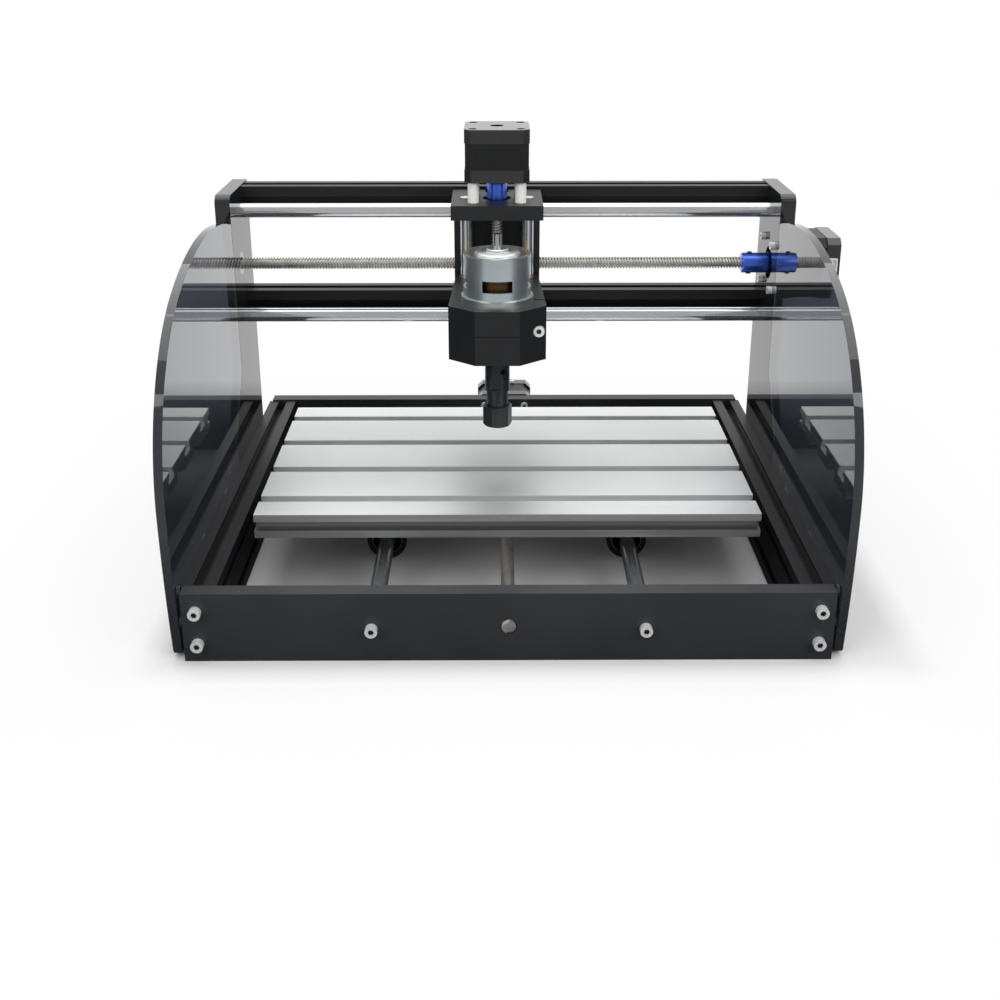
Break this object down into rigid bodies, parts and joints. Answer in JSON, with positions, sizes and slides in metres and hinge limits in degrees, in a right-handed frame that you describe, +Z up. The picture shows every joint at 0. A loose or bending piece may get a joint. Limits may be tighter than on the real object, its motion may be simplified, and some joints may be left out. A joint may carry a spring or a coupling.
{
  "type": "desktop cnc router",
  "caption": "Desktop CNC router: T-slot table on Y rods, gantry carriage on X rods, Z slide with collet spindle, lead screws, stepper motors and smoked side guards.",
  "frame": {"origin": "on the floor, under the middle of the whole box seen from above; the machine's centre plane is 15 mm to the left of it because the X motor stands out on the right", "axes": "+X to the operator's right, +Y to the rear, +Z up"},
  "size_m": [0.423, 0.356, 0.265],
  "materials": {
    "phenolic_black": "matt black phenolic sheet",
    "upright_black": "glossy black phenolic plate",
    "anodised_black": "black anodised extrusion",
    "smoked_acrylic": "smoked transparent acrylic sheet",
    "hard_chrome": "polished hard chrome",
    "motor_black": "satin black",
    "bell_black": "black die-cast aluminium",
    "nylon_white": "white nylon",
    "screw_steel": "bright zinc-plated screws",
    "bearing_steel": "ground bearing steel",
    "table_aluminium": "clear anodised extrusion",
    "moulded_black": "fine-textured black moulding",
    "brass": "turned brass",
    "bronze": "sintered bronze",
    "zinc_steel": "zinc-plated drawn steel",
    "copper_winding": "varnished copper winding",
    "black_oxide": "black oxide steel",
    "blue_anodised": "blue anodised",
    "screw_rod": "rolled lead screw steel"
  },
  "bodies": {
    "frame": {"front_panel": "phenolic_black", "rear_panel": "phenolic_black", "left_y_profile": "anodised_black", "right_y_profile": "anodised_black", "left_upright": "upright_black", "right_upright": "upright_black", "left_guard": "smoked_acrylic", "right_guard": "smoked_acrylic", "x_beams": "anodised_black", "x_rods": "hard_chrome", "y_rods": "hard_chrome", "x_motor_stack": "motor_black", "x_motor_bells": "bell_black", "y_motor_stack": "motor_black", "y_motor_bells": "bell_black", "motor_connectors": "nylon_white", "frame_screws": "screw_steel", "guard_screws": "screw_steel", "upright_screws": "screw_steel", "motor_screws": "screw_steel", "screw_bearings": "bearing_steel"},
    "table": {"table_plate": "table_aluminium", "table_bearing_blocks": "moulded_black", "table_bearings": "bearing_steel", "y_nut_block": "moulded_black", "y_nut": "brass", "table_screws": "screw_steel"},
    "x_carriage_body": {"x_carriage": "moulded_black", "x_bearings": "bearing_steel", "x_nut": "brass", "z_rods": "hard_chrome", "z_standoffs": "nylon_white", "z_motor_stack": "motor_black", "z_motor_bells": "bell_black", "z_motor_connector": "nylon_white", "z_screw_bearing": "bearing_steel"},
    "z_slide_body": {"spindle_clamp": "moulded_black", "z_bushes": "bronze", "z_nut": "brass", "clamp_screw": "screw_steel", "spindle_can": "zinc_steel", "flux_ring": "zinc_steel", "spindle_end_cap": "zinc_steel", "spindle_terminals": "brass"},
    "spindle_rotor": {"rotor_shaft": "zinc_steel", "rotor_armature": "copper_winding", "collet_holder": "black_oxide", "collet": "zinc_steel", "collet_nut": "black_oxide"},
    "x_screw": {"x_lead_screw": "screw_rod", "x_coupling": "blue_anodised", "x_motor_shaft": "zinc_steel"},
    "y_screw": {"y_lead_screw": "screw_rod", "y_coupling": "blue_anodised", "y_motor_shaft": "zinc_steel"},
    "z_screw": {"z_lead_screw": "screw_rod", "z_coupling": "blue_anodised", "z_motor_shaft": "zinc_steel"}
  },
  "joints": [
    {"name": "y_slide", "type": "slide", "parent": "frame", "child": "table", "axis": [0, 1, 0], "range_m": [-0.09, 0.09]},
    {"name": "x_slide", "type": "slide", "parent": "frame", "child": "x_carriage_body", "axis": [1, 0, 0], "range_m": [-0.141, 0.151]},
    {"name": "z_slide", "type": "slide", "parent": "x_carriage_body", "child": "z_slide_body", "axis": [0, 0, 1], "range_m": [0, 0.043]},
    {"name": "spindle_spin", "type": "hinge", "parent": "z_slide_body", "child": "spindle_rotor", "pos_m": [-0.0208, -0.016, 0.1], "axis": [0, 0, 1], "continuous": true},
    {"name": "x_screw_spin", "type": "hinge", "parent": "frame", "child": "x_screw", "pos_m": [-0.015, 0.065, 0.1683], "axis": [1, 0, 0], "continuous": true},
    {"name": "y_screw_spin", "type": "hinge", "parent": "frame", "child": "y_screw", "pos_m": [-0.015, -0.024, 0.0215], "axis": [0, 1, 0], "continuous": true},
    {"name": "z_screw_spin", "type": "hinge", "parent": "x_carriage_body", "child": "z_screw", "pos_m": [-0.0208, 0.0455, 0.17], "axis": [0, 0, 1], "continuous": true}
  ],
  "couplings": [
    {"joint": "x_screw_spin", "follows": "x_slide", "rad_per_m": -1570.8},
    {"joint": "y_screw_spin", "follows": "y_slide", "rad_per_m": -1570.8},
    {"joint": "z_screw_spin", "follows": "z_slide", "rad_per_m": -1570.8}
  ]
}
